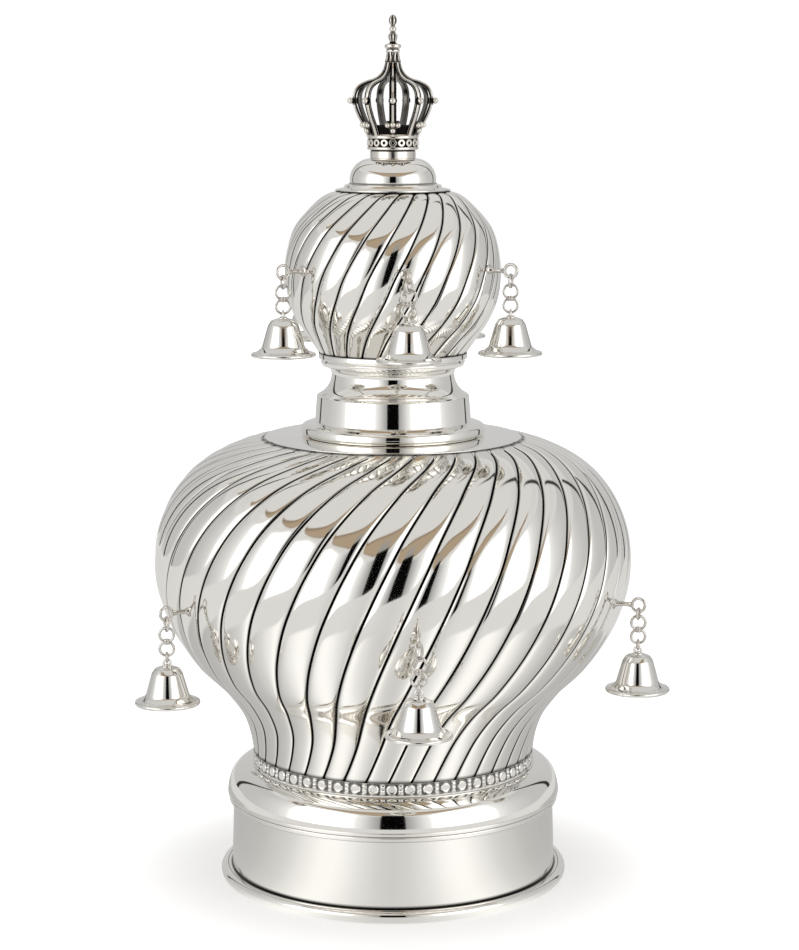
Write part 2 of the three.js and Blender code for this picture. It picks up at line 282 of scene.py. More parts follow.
def wire_ring(half_width, half_height, wire, steps=40, sides=14):
    """A round wire ring in the plane X-Z, centred on the origin."""
    angles = np.arange(steps) * 2 * math.pi / steps
    route = np.stack([half_width * np.cos(angles), 0 * angles, half_height * np.sin(angles)], -1)
    return sweep(route, circle(wire / 2, sides), side=(0, 1, 0), closed=True)


def half_circle(radius, rows, centre=0.0):
    return [(radius * math.sin(angle), centre - radius * math.cos(angle))
            for angle in np.linspace(0, math.pi, rows)]


def ball(radius, rows=12, columns=18):
    return lathe(half_circle(radius, rows), columns, closed=False)


def piece(name, part, material, slot, *nodes):
    """The mesh object that stands for CAD nodes and rides with the crown."""
    mesh = bpy.data.meshes.new(name)
    mesh.from_pydata((part.vertices * MM).tolist(), [], part.faces)
    mesh.polygons.foreach_set("use_smooth", np.ones(len(mesh.polygons), bool))
    mesh.attributes.new("tarnish_and_shade", "FLOAT", "POINT").data.foreach_set("value", part.tarnish_and_shade)
    mesh.set_sharp_from_angle(angle=math.radians(50))
    mesh.materials.append(material)
    made = bpy.data.objects.new(name, mesh)
    bpy.context.scene.collection.objects.link(made)
    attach(made, "root")
    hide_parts(*nodes)


# ---- Materials ------------------------------------------------------------------------------

# black for oxide, and for the painted shade along a few joints
OXIDE_AND_SHADE = (0.010, 0.009, 0.008)
OXIDE_AND_SHADE_ROUGHNESS = 0.3
FILM = (0.80, 0.76, 0.68)  # what is left of red, green and blue under a full film


def silver(name, color, roughness, wave, scratch, patina=0.0):
    """Polished silver: long waves left by hand work, fine polishing marks, a slight film in
    patches, and black where the tarnish and shade attribute is high: oxide in grooves and
    hollows, and painted shade along a few joints. wave and scratch are depths in millimetres,
    and patina adds to the film."""
    material = bpy.data.materials.new(name)
    material.use_nodes = True
    tree = material.node_tree
    tree.nodes.clear()

    def node(kind, inputs=None, **settings):
        """Each input is a value, or another node's output to link to."""
        made = tree.nodes.new(kind)
        for key, value in settings.items():
            setattr(made, key, value)
        for key, value in (inputs or {}).items():
            if isinstance(value, bpy.types.NodeSocket):
                tree.links.new(value, made.inputs[key])
            else:
                made.inputs[key].default_value = value
        return made

    place = node("ShaderNodeTexCoord").outputs["Object"]

    def noise(scale, detail):
        inputs = {"Vector": place, "Scale": scale, "Detail": detail}
        return node("ShaderNodeTexNoise", inputs).outputs["Fac"]

    film = noise(34.0, 4.0)
    marks = noise(900.0, 3.0)
    waves = noise(26.0, 1.5)
    # high for oxide in hollows, and for painted shade along a few joints
    oxide_and_shade = node("ShaderNodeAttribute", attribute_name="tarnish_and_shade").outputs["Fac"]

    film_color = tuple(part * left for part, left in zip(color, FILM))
    tint = node("ShaderNodeMapRange", {"Value": film, "From Min": 0.35, "From Max": 0.75,
                                       "To Min": 0.0, "To Max": 0.10 + patina})
    warm = node("ShaderNodeMix", {"Factor": tint.outputs["Result"], "A": (*color, 1),
                                  "B": (*film_color, 1)}, data_type="RGBA")
    black = node("ShaderNodeMix", {"Factor": oxide_and_shade, "A": warm.outputs["Result"],
                                   "B": (*OXIDE_AND_SHADE, 1)}, data_type="RGBA")

    gloss = node("ShaderNodeMapRange", {"Value": marks, "To Min": roughness * 0.8,
                                        "To Max": roughness * 1.3})
    dull = node("ShaderNodeMix", {"Factor": oxide_and_shade, "A": gloss.outputs["Result"],
                                  "B": OXIDE_AND_SHADE_ROUGHNESS}, data_type="FLOAT")

    broad = node("ShaderNodeBump", {"Strength": 1.0, "Distance": wave * MM, "Height": waves})
    fine = node("ShaderNodeBump", {"Strength": 1.0, "Distance": scratch * MM, "Height": marks,
                                   "Normal": broad.outputs["Normal"]})

    shader = node("ShaderNodeBsdfPrincipled", {
        "Metallic": 1.0, "Base Color": black.outputs["Result"],
        "Roughness": dull.outputs["Result"], "Normal": fine.outputs["Normal"],
    })
    node("ShaderNodeOutputMaterial", {"Surface": shader.outputs["BSDF"]})
    return material


BRIGHT = (0.885, 0.868, 0.832)
POLISHED = silver("polished_silver", BRIGHT, 0.05, wave=0.02, scratch=0.0015)
FLUTED = silver("fluted_silver", BRIGHT, 0.07, wave=0.12, scratch=0.0015)
CHASED = silver("chased_silver", BRIGHT, 0.14, wave=0.05, scratch=0.004, patina=0.1)
CAST = silver("cast_silver", (0.80, 0.770, 0.725), 0.16, wave=0.05, scratch=0.004, patina=0.5)
BELL_SILVER = silver("bell_silver", (0.80, 0.785, 0.755), 0.05, wave=0.02, scratch=0.002)
WIRE_SILVER = silver("silver_wire", (0.66, 0.64, 0.61), 0.12, wave=0.02, scratch=0.002,
                     patina=0.45)


# ---- Drum, shoulder, neck and cap -----------------------------------------------------------

def base_drum():
    """A plain drum that flares a little downwards onto a rolled foot. The foot has a fine groove
    round its top. The black line along the joint where the drum meets the foot is painted shade."""
    foot, flare = 81.3, 0.9
    seat = DRUM_RADIUS + flare
    return lathe(rounded([
        (foot, 0, 2.6), (foot, 5.4, 2.4), (seat + 2.2, 5.5, 0.1), (seat + 2.0, 5.2, 0.05),
        (seat + 1.8, 5.5, 0.1), (seat + 0.2, 5.4, 0.1), (seat, 5.9, 0.1),
        (DRUM_RADIUS, DRUM_TOP, 0.15), (DRUM_RADIUS - SHEET, DRUM_TOP, 0.15),
        (seat - SHEET, 0, 0.3),
    ]), 208, tarnish_and_shade=lambda r, z: float(seat - 0.1 < r < seat + 0.5 and 5.1 < z < 6.0)
        + 0.8 * (seat + 1.85 < r < seat + 2.15 and 5.0 < z < 5.45))


def base_shoulder():
    """Two small rolls, then a cushion that closes in to the band. The black line at its foot, on
    the drum's top, is a painted shadow of the joint.
    """
    rolls = rounded([
        (76.1, DRUM_TOP), (77.2, 36.9, 0.6), (77.5, 38.5, 0.6), (76.8, 38.8, 0.05),
        (77.7, 39.2, 0.5), (78.0, 40.6, 0.5), (77.5, 40.9),
    ], step=0.5, closed=False)
    cushion = spline([
        (77.95, 41.1), (77.6, 43.6), (77.0, 46.0), (76.2, 48.2), (74.9, 50.3), (72.9, 52.1),
        (70.2, 53.3), (BAND_RADIUS + 0.2, BAND_BOTTOM),
    ], 34)
    inner = [(64.7, BAND_BOTTOM), (72.6, 50.0), (74.2, 46.0), (74.2, DRUM_TOP)]
    return lathe([*rolls, *map(tuple, cushion), *inner], 224,
                 tarnish_and_shade=lambda r, z: float(r > 75 and z < 36.45) + 0.6 * (38.75 < z < 38.9))


def neck():
    """A flat plate, a roll, a short cylinder, a waist, a bead and the upper bulb's seat."""
    waist = spline([
        (34.4, 227.8), (32.2, 229.2), (30.2, 231.5), (28.9, 234.0), (28.4, 236.6), (28.7, 238.8),
        (30.0, 240.4),
    ], 26)
    low = rounded([
        (57.6, LOWER_TOP), (59.3, LOWER_TOP, 0.1), (59.2, 208.2, 0.2), (40.4, 209.3, 0.1),
        (42.5, 209.9, 1.2), (42.5, 213.6, 1.9), (39.6, 214.6, 1.2), (36.1, 215.4, 0.5),
        (35.2, 227.2, 0.5), (34.5, 227.7),
    ], step=0.8, closed=False)
    high = rounded([
        (30.2, 240.6), (32.6, 241.1, 0.9), (33.3, 243.1, 0.9), (32.7, 244.1, 0.1),
        (34.3, 244.5, 0.5), (34.3, NECK_TOP, 0.2), (32.2, NECK_TOP),
    ], step=0.6, closed=False)
    inner = [(28.9, 241.0), (27.2, 236.6), (28.9, 231.0), (32.6, 227.0), (33.7, 225.4),
             (33.7, 214.4), (40.6, 208.0)]
    return lathe([*low, *map(tuple, waist), *high, *inner], 192,
                 tarnish_and_shade=lambda r, z: 0.9 * (r > 58 and z < 207.8) + (r > 33 and z > NECK_TOP - 0.5)
                 + 0.6 * (30 < r < 30.5 and 240.3 < z < 240.8))


def cap():
    """A domed lid on a spreading flange."""
    dome = spline([
        (19.7, 324.9), (19.6, 327.4), (18.6, 330.4), (16.6, 333.0), (13.6, 334.9),
        (10.6, CAP_TOP),
    ], 24)
    under = rounded([
        (0, CAP_TOP - SHEET), (11.6, CAP_TOP - SHEET, 4.0), (16.4, 330.6, 3.0), (18.4, 325.6, 1.0),
        (24.4, UPPER_TOP, 0.1), (26.3, UPPER_TOP, 0.1), (26.3, 321.6, 0.2), (22.4, 322.4, 0.5),
        (22.0, 323.6, 0.4), (20.0, 324.1, 0.2), (19.6, 324.6),
    ], step=0.7, closed=False)
    return lathe([*under, *map(tuple, dome), (0, CAP_TOP)], 160, closed=False,
                 tarnish_and_shade=lambda r, z: 0.9 * (r > 26 and z < UPPER_TOP + 0.2)
                 + 0.7 * (19.2 < r < 20.2 and 323.9 < z < 324.7))


# ---- Fluted bulbs ---------------------------------------------------------------------------

def bulb(outline, flutes, columns, rows, arch, fold, line):
    """Each flute is a low arch that folds down steeply into a narrow groove on either side, and
    turns with height. columns are places across a flute, as shares of its width. arch and fold
    are depths at the widest row, and line is about the share of a flute's half width that is
    black there. The black lines keep about the same width."""
    path = spline(outline, rows)
    extra_row = 0.45  # how far towards the next row it lies, to keep the ends' dark edges narrow
    path = np.vstack([path[0], path[0] + (path[1] - path[0]) * extra_row, path[1:-1],
                      path[-1] + (path[-2] - path[-1]) * extra_row, path[-1]])
    rows = len(path)
    radius, height, turn = path.T
    slope = np.gradient(path[:, :2], axis=0)
    slope /= np.linalg.norm(slope, axis=1)[:, None]
    normal = np.stack([slope[:, 1], -slope[:, 0]], -1)
    share = radius / radius.max()

    across = np.array(columns)
    edge = np.abs(2 * across - 1)
    wide = line / share[:, None] ** 0.8
    notch = np.clip((edge - 1 + wide) / wide, 0, 1)
    notch_share = 0.12
    section = arch * edge ** 2 + fold * edge ** 8 + notch_share * (arch + fold) * notch
    depth = np.tile(share[:, None] * section, flutes)
    dark_from, dark_fade = wide * 1.35, wide * 0.45
    dark = np.tile(np.clip((edge - 1 + dark_from) / dark_fade, 0, 1), flutes)
    dark[[0, -1]] = 1.0
    dark[[1, -2]] = np.maximum(dark[[1, -2]], 0.6)

    angles = np.radians((np.arange(flutes)[:, None] + across).ravel() * 360 / flutes)
    r = radius[:, None] - depth * normal[:, :1]
    z = height[:, None] - depth * normal[:, 1:]
    azimuth = angles[None] + np.radians(turn)[:, None]
    outer = np.stack([r * np.sin(azimuth), -r * np.cos(azimuth), z], -1)
    outer[0, :, 2], outer[-1, :, 2] = height[0], height[-1]

    inner_rows = np.linspace(rows - 1, 0, 12).round().astype(int)
    thinnest = 0.6
    drop = (arch + fold) * (1 + notch_share) + thinnest
    ri = radius[inner_rows, None] - drop * np.maximum(normal[inner_rows, :1], 0.3)
    zi = height[inner_rows, None] - drop * normal[inner_rows, 1:]
    zi[0], zi[-1] = height[-1], height[0]
    around = azimuth[inner_rows]
    inner = np.stack([ri * np.sin(around), -ri * np.cos(around), zi + 0 * around], -1)
    shade = np.concatenate([dark, np.zeros((len(inner_rows), len(angles)))])
    return skin(np.concatenate([outer, inner]), wrap_rows=True, tarnish_and_shade=shade)


LOWER_COLUMNS = [0, .015, .030, .046, .075, .12, .18, .27, .38, .5, .62, .73, .82, .88, .925, .954,
                 .970, .985]
UPPER_COLUMNS = [0, .018, .034, .052, .085, .135, .21, .32, .5, .68, .79, .865, .915, .948, .966,
                 .982]


# ---- Gallery band ---------------------------------------------------------------------------

def gallery_band():
    """A strip between two thin rims: low round discs that nearly fill it, with four small bars
    in each gap, two above and two below."""
    motifs, per_motif = 50, 20
    low, high = BAND_BOTTOM, BAND_TOP
    middle = (low + high) / 2 + 0.2
    heights = np.concatenate([
        [low, low + 0.25, low + 0.85, low + 1.05],
        np.linspace(low + 1.25, high - 0.75, 18),
        [high - 0.6, high - 0.45, high - 0.1, high],
    ])
    pitch = 2 * math.pi * BAND_RADIUS / motifs
    along = np.arange(motifs * per_motif) / per_motif
    x = (along % 1 - 0.5) * pitch
    angles = along * 2 * math.pi / motifs
    X, Z = np.meshgrid(x, heights)

    def pad(distance, reach, soft):
        """1 inside and 0 outside of reach, with a slope of width soft."""
        return np.clip((reach - distance) / soft, 0, 1)

    up = Z - middle
    disc = pad(np.hypot(X, up), 2.3, 0.35)
    dish = pad(np.hypot(X, up), 1.75, 0.35)
    gap = np.abs(np.abs(X) - pitch / 2)
    bars = [pad(np.hypot((gap - 0.45) / 0.42, (up + offset) / 0.85), 1, 0.5)
            for offset in (-0.95, 0.95)]
    strap = pad(gap, 1.15, 0.4)
    rims = np.maximum(pad(Z - low, 1.1, 0.25), pad(high - Z, 0.5, 0.2))
    relief = np.maximum.reduce([disc * 0.6 - dish * 0.12, bars[0] * 0.62, bars[1] * 0.62,
                                strap * 0.24, rims * 0.75])
    lean = 0.5 * (Z - low) / (high - low)
    r = BAND_RADIUS - 0.65 - lean + relief
    grid = np.stack([r * np.sin(angles), -r * np.cos(angles), Z], -1)
    shade = 0.85 * np.clip(1 - relief / 0.3, 0, 1)
    shade[0] = 1.0
    back = [ring_of(BAND_RADIUS - 0.5 - SHEET, high, angles),
            ring_of(BAND_RADIUS - SHEET, low, angles)]
    return skin(np.concatenate([grid, back]), wrap_rows=True,
                tarnish_and_shade=np.concatenate([shade, np.zeros((2, len(angles)))]))


# ---- Finial crown ---------------------------------------------------------------------------

ARCHES = 9
CLUSTERS = 6
DISCS = 18
PEARL = 1.45


def outward(route):
    """Puts points of radius and height in the plane of azimuth 0."""
    return np.stack([0 * route[:, 0], -route[:, 0], route[:, 1]], -1)


def strap_section(width, thickness):
    """A strap with a broad rib down its middle and a narrow one along each edge, and where its
    two channels are black. Points are (across, out)."""
    half = width / 2
    face = [(-1, 0.15), (-0.98, 0.50), (-0.90, 0.66), (-0.82, 0.52), (-0.78, 0.02), (-0.55, 0.00),
            (-0.48, 0.50), (-0.30, 0.92), (0, 1.0)]
    face += [(-a, b) for a, b in face[-2::-1]]
    back = [(0.85, -0.05), (0.3, -0.15), (-0.3, -0.15), (-0.85, -0.05)]
    black = [1, 1, 0.4, 0.9, 1, 1, 0.7, 0, 0]
    black += black[-2::-1] + [0.72] * len(back)
    return [(a * half, -b * thickness) for a, b in face + back], black


def arch(azimuth):
    """A strap that swells out of the band and narrows as it closes in on the column."""
    route = spline([
        (10.6, 346.0), (12.6, 350.4), (15.2, 355.4), (17.0, 360.6), (16.9, 364.6), (15.2, 367.4),
        (12.0, 369.2), (8.4, 370.3), (5.6, 371.9), (3.4, 374.6), (2.2, 378.4),
    ], 44)
    section, black = strap_section(3.3, 1.4)
    near_top = np.clip((route[:, 1] - 369.5) / 4.5, 0, 1)
    scale = np.stack([1 - 0.42 * near_top, 1 + 0 * near_top], -1)
    return sweep(outward(route), section, scale=scale, tarnish_and_shade=black).turned(azimuth)


def pearl(radius, height, azimuth):
    """A ball on a short collar that leaves a dark ring round it."""
    collar = lathe(rounded([
        (0, -0.6), (1.3 * PEARL, -0.6, 0.1), (1.35 * PEARL, 0.3, 0.2), (0, 0.35),
    ], closed=False), 18, closed=False, tarnish_and_shade=lambda r, z: 1)
    bead = ball(PEARL, 16, 24).moved(z=PEARL * 0.9)
    both = joined([collar, bead]).pitched(90)
    return both.moved(y=-(radius - PEARL * 0.9), z=height).turned(azimuth)


def cluster(azimuth):
    """Three pearls in a row and one below them, on a leaf that leans out of the band."""
    lean = 20
    size = 1.2
    thickness = 0.9
    leaf = spline([(0.9, -4.6), (1.2, -2.4), (2.9, -0.9), (3.6, 0.4), (2.6, 1.4), (1.0, 1.3),
                   (0.0, 1.7)], 16)
    outline = np.vstack([leaf, leaf[-2::-1] * (-1, 1)])
    plate = []
    for share, out in [(0.0, 0.0), (1.0, 0.0), (1.0, 0.7), (0.85, 1.0), (0.0, 1.0)]:
        plate.append(np.stack([outline[:, 0] * share, outline[:, 1] * share + (1 - share) * -1.0,
                               np.full(len(outline), out * thickness)], -1))
    pieces = [skin(np.array(plate), tarnish_and_shade=np.full((len(plate), len(outline)), 0.9))]
    for x, y, radius in [(-2.45, 0.1, size), (0, 0.35, size * 1.08), (2.45, 0.1, size),
                         (0, -2.5, size * 1.05)]:
        pieces.append(ball(radius).moved(x, y, 1.15))
    return joined(pieces).pitched(90 + lean).moved(y=-13.4, z=351.0).turned(azimuth)


def disc():
    """One of the small round bosses on the plinth, with a dark hollow in its middle."""
    flat = lathe(rounded([
        (0, 0), (1.75, 0, 0.1), (1.75, 0.75, 0.35), (0.75, 0.75, 0.15), (0.55, 0.35, 0.1),
        (0, 0.35),
    ], step=0.6, closed=False), 18, closed=False, tarnish_and_shade=lambda r, z: float(r < 0.6))
    return flat.pitched(90)


def finial_crown():
    """A round plinth with discs, a black wall behind the arches' feet, arches with a pearl each,
    clusters of pearls, and the spire."""
    plinth = lathe(rounded([
        (0, CAP_TOP), (10.4, CAP_TOP, 0.2), (10.4, 338.8, 0.2), (9.8, 339.3, 0.2),
        (11.7, 339.6, 0.4), (11.7, 340.7, 0.4), (11.0, 341.0, 0.1), (11.0, 344.4, 0.1),
        (11.7, 344.7, 0.4), (11.7, 345.6, 0.4), (11.3, 346.6, 0.3), (9.4, 346.6, 0.2),
        (9.4, 341.4, 0.2), (0, 341.4),
    ], step=0.6, closed=False), 128, closed=False,
        tarnish_and_shade=lambda r, z: float(r < 11.15 and (z > 340.9 or 338.9 < z < 339.5)))
    wall = lathe(rounded([
        (9.9, 346.3), (11.3, 346.3, 0.1), (12.6, 350.2, 0.3), (11.9, 350.6, 0.2),
        (10.4, 347.0, 0.1),
    ], step=0.8), 72, tarnish_and_shade=lambda r, z: 1)
    pieces = [plinth, wall]
    for i in range(DISCS):
        pieces.append(disc().moved(y=-10.95, z=342.7).turned(FACING + 360 / DISCS * i))
    for i in range(ARCHES):
        azimuth = FACING + 360 / ARCHES * i
        pieces += [arch(azimuth), pearl(19.4, 361.6, azimuth)]
    for i in range(CLUSTERS):
        pieces.append(cluster(FACING + 360 / CLUSTERS * i))
    pieces += spire()
    return joined(pieces)


def fluted_column(outline, flutes, depth, per_flute=8):
    """A lathe whose radius is drawn in between ribs, with the channels blackened. Where the
    radius is under 2 mm, the channels are shallower."""
    columns = flutes * per_flute
    angles = np.arange(columns) * 2 * math.pi / columns
    wave = (0.5 - 0.5 * np.cos(angles * flutes)) ** 1.5
    grid = np.array([ring_of((r - depth * min(1, r / 2) * wave), z, angles) for r, z in outline])
    shade = np.tile(np.clip(wave * 3 - 0.5, 0, 1), (len(outline), 1))
    return skin(grid, tarnish_and_shade=shade)


def capital_leaf(azimuth):
    """A ribbed leaf that hangs from the disc and curls out at its tip."""
    rows = 14
    route = spline([(2.3, 383.5), (2.4, 381.8), (2.6, 380.2), (3.0, 379.0), (3.4, 378.6),
                    (3.6, 379.0)], rows)
    grow = np.linspace(0.5, 1.15, rows)
    grow[-3:] = (1.1, 0.9, 0.5)
    section, black = strap_section(2.1, 0.7)
    return sweep(outward(route), [(across, -out) for across, out in section],
                 scale=np.stack([grow, 0 * grow + 1], -1), tarnish_and_shade=black).turned(azimuth)


def spire():
    """Column, leaf capital, disc, fluted knop, ball and bud, one above the other."""
    shaft = fluted_column([
        (0, 370.4), (2.6, 370.4), (2.7, 373), (2.7, 378.6), (2.4, 383.6), (0, 383.6),
    ], ARCHES, 0.5)
    turned = lathe(rounded([
        (0, 383.2), (2.9, 383.2, 0.2), (3.1, 383.7, 0.3), (3.05, 384.3, 0.2), (2.6, 384.5, 0.1),
        (3.1, 384.8, 0.2), (3.8, 385.5, 0.6), (3.6, 386.7, 0.5), (1.9, 387.1, 0.3),
        (1.2, 387.9, 0.2), (1.1, 388.5, 0.2), (0, 388.5),
    ], step=0.5, closed=False), 64, closed=False,
        tarnish_and_shade=lambda r, z: float(z > 387.0 or 384.35 < z < 384.75))
    knop = fluted_column([
        (0, 387.9), (1.5, 388.0), (1.6, 388.4), (1.9, 389.3), (2.15, 390.2), (2.0, 391.0),
        (1.3, 391.6), (0, 391.8),
    ], 8, 0.5)
    collar = lathe(rounded([(0, 391.2), (1.25, 391.4, 0.2), (1.25, 392.2, 0.2), (0, 392.4)],
                           step=0.4, closed=False), 32, closed=False, tarnish_and_shade=lambda r, z: 0.8)
    bead_height = 393.5
    bead = lathe(half_circle(1.55, 18, bead_height), 28, closed=False,
                 tarnish_and_shade=lambda r, z: float(abs(z - bead_height) > 1.2))
    stem = lathe([(0, 394.6), (0.95, 394.7), (0.95, 395.6), (0, 395.8)], 24, closed=False,
                 tarnish_and_shade=lambda r, z: 0.8)
    bud = fluted_column([
        (0, 395.2), (0.9, 395.3), (1.5, 396.0), (1.85, 397.0), (1.8, 398.0), (1.3, 399.2),
        (0.6, 399.85), (0, OVERALL),
    ], 6, 0.25, 6)
    leaves = [capital_leaf(FACING + 360 / ARCHES * (i + 0.5)) for i in range(ARCHES)]
    return [shaft, turned, knop, collar, bead, stem, bud, *leaves]


# ---- Bells, studs and chains ----------------------------------------------------------------

WIRE = 1.3
EYE = {"radius": 3.0, "wire": 1.4}
RING_RADIUS = 3.15
LINK_HALF_WIDTH = 1.9
SMALL_RING = {"half_width": 1.5, "half_height": 2.0, "wire": 1.2}
BELL_LOOP = {"half_width": 1.55, "half_height": 1.75, "wire": 1.1, "height": 18.9}


def bell():
    """An open bell with a rolled lip, a boss and a wire loop. Its rim is at height 0."""
    shell = lathe(rounded([
        (0, 17.4), (3.3, 17.3, 0.8), (5.5, 16.5, 1.7), (6.9, 14.4, 1.4), (8.35, 9.4, 9.0),
        (9.8, 4.3, 2.4), (11.8, 2.7, 1.4), (13.3, 2.1, 1.2), (14.55, 2.0, 0.85), (14.55, 0.2, 0.85),
        (13.1, 0.25, 0.3), (11.0, 1.7, 1.2), (9.0, 3.9, 3.0), (7.5, 9.2, 8.0), (5.8, 13.9, 1.5),
        (3.6, 15.7, 1.5), (0, 16.0),
    ], step=0.8, closed=False), 80, closed=False)
    loop = wire_ring(BELL_LOOP["half_width"], BELL_LOOP["half_height"], BELL_LOOP["wire"], 32, 12)
    boss = lathe(rounded([
        (0, 16.9), (2.5, 16.9, 0.1), (2.3, 17.75, 0.3), (1.5, 17.85, 0.1), (1.35, 18.4, 0.3),
        (0, 18.45),
    ], step=0.4, closed=False), 32, closed=False,
        tarnish_and_shade=lambda r, z: 0.8 * (r > 2.4 and z < 17.1) + 0.5 * (r < 1.6 and 17.7 < z < 18))
    return joined([shell, loop.moved(z=BELL_LOOP["height"]), boss])


def clapper():
    """A drop on a stem, which ends in the bell's top."""
    return lathe(rounded([
        (0, 3.6), (1.4, 3.7, 1.0), (2.3, 5.2, 1.2), (1.2, 7.0, 1.0), (0.55, 8.2, 0.6), (0.5, 16.8),
        (0, 16.8),
    ], step=0.5, closed=False), 24, closed=False)


def stud(reach):
    """Its foot is at the origin and its eye lies outwards, along -Y."""
    ring = reach - EYE["radius"]
    stem = lathe(rounded([
        (0, -0.8), (2.7, -0.8, 0.1), (2.6, 0.7, 0.5), (1.7, 1.2, 0.5), (1.05, 2.6, 1.5),
        (1.0, ring - 1.6, 1.0), (1.3, ring - 0.2), (0, ring + 0.1),
    ], step=0.6, closed=False), 28, closed=False).pitched(90)
    eye = wire_ring(EYE["radius"], EYE["radius"], EYE["wire"]).turned(90).moved(y=-reach)
    return joined([stem, eye])


def hung_ring(half_width, half_height, wire, azimuth, height):
    return wire_ring(half_width, half_height, wire).turned(azimuth).moved(z=height)


def binding(height):
    """A short wound barrel that holds two rings together where they meet."""
    coil = lathe(rounded([
        (0, -1.25), (1.3, -1.25, 0.3), (1.55, -0.5, 0.3), (1.2, -0.42, 0.05), (1.5, -0.3, 0.2),
        (1.6, 0.3, 0.2), (1.2, 0.42, 0.05), (1.55, 0.5, 0.3), (1.3, 1.25, 0.3), (0, 1.25),
    ], step=0.4, closed=False), 28, closed=False)
    return coil.moved(z=height)


def chain(drop, link_azimuth, long_chain):
    """Two round rings bound together and a long link above them. A long chain has a small ring
    below them too. Heights are measured up from the bell's rim, and drop is that of the eye."""
    loop_top = BELL_LOOP["height"] + BELL_LOOP["half_height"]
    touch = (WIRE + BELL_LOOP["wire"]) / 2
    bottom = loop_top - touch
    pieces = []
    if long_chain:
        reach = SMALL_RING["half_height"]
        pieces.append(hung_ring(**SMALL_RING, azimuth=FACING + 90, height=bottom + reach))
        bottom += 2 * reach - WIRE
    for level in (1, 3):
        pieces.append(hung_ring(RING_RADIUS, RING_RADIUS, WIRE, FACING,
                                bottom + level * RING_RADIUS))
    pieces.append(binding(bottom + 2 * RING_RADIUS))
    link_bottom = bottom + 4 * RING_RADIUS - WIRE
    link_top = drop - EYE["radius"] + (WIRE + EYE["wire"]) / 2
    half = (link_top - link_bottom) / 2
    pieces.append(hung_ring(LINK_HALF_WIDTH, half, WIRE, link_azimuth, link_bottom + half))
    return joined(pieces)


# ---- Assembly -------------------------------------------------------------------------------

piece("drum", base_drum(), POLISHED, "polished_silver", "base_drum")
piece("shoulder", base_shoulder(), POLISHED, "polished_silver", "base_shoulder")
piece("band", gallery_band(), CHASED, "chased_silver", "gallery_band")
piece("bulb_lower", bulb(LOWER_OUTLINE, flutes=40, columns=LOWER_COLUMNS, rows=112, arch=0.75,
                         fold=1.0, line=0.07), FLUTED, "fluted_silver", "lower_bulb")
piece("neck_turned", neck(), POLISHED, "polished_silver", "neck")
piece("bulb_upper", bulb(UPPER_OUTLINE, flutes=26, columns=UPPER_COLUMNS, rows=100, arch=0.52,
                         fold=0.7, line=0.08), FLUTED, "fluted_silver", "upper_bulb")
piece("cap_domed", cap(), POLISHED, "polished_silver", "cap")
piece("crown_cast", finial_crown(), CAST, "cast_silver", "finial_crown")

TIERS = {
    "lower": {"outline": LOWER_OUTLINE, "height": 138.0, "eye_radius": 120.3, "long_chain": True},
    "upper": {"outline": UPPER_OUTLINE, "height": 286.3, "eye_radius": 59.9, "long_chain": False},
}
STUD_SEAT = 0.6  # how far a stud's foot is let into the bulb
LINK_TURN = 0.42  # share of the longer way round, from the round rings to the stud's eye


def hang(label, outline, height, eye_radius, long_chain):
    """One bell with its stud, chain and clapper. The stud's eye is at eye_radius and height."""
    low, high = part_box(f"{label}_bell")
    x, y = (low.x + high.x) / 2 / MM, (low.y + high.y) / 2 / MM
    rim = low.z / MM
    azimuth = math.degrees(math.atan2(x, -y))
    radii, heights = [knot[0] for knot in outline], [knot[1] for knot in outline]
    foot = float(np.interp(height, heights, radii)) - STUD_SEAT
    piece(f"stud_{label}", stud(eye_radius - foot).moved(y=-foot, z=height).turned(azimuth),
          WIRE_SILVER, "silver_wire", f"{label}_stud")
    eye = (azimuth - FACING + 90) % 180
    turn = LINK_TURN * eye if eye > 90 else 180 - LINK_TURN * (180 - eye)
    piece(f"chain_{label}", chain(height - rim, FACING + turn, long_chain).moved(x, y, rim),
          WIRE_SILVER, "silver_wire", f"{label}_chain")
    loop_azimuth = FACING if long_chain else FACING - 90  # square to the chain's lowest ring
    piece(f"bell_{label}", bell().turned(loop_azimuth).moved(x, y, rim), BELL_SILVER,
          "polished_silver", f"{label}_bell")
    piece(f"clapper_{label}", clapper().moved(x, y, rim), WIRE_SILVER, "silver_wire",
          f"{label}_clapper")


for tier, place in TIERS.items():
    for number in range(1, 6):
        hang(f"{tier}_{number}", **place)


# ---- Studio ---------------------------------------------------------------------------------

TENT = {"radius": 1150.0, "centre": 152.0, "rows": 48, "columns": 96}
FLOOR_HALF = 3000
BOUNCE = {"half": 1400.0, "disc": 300.0, "height": -1}


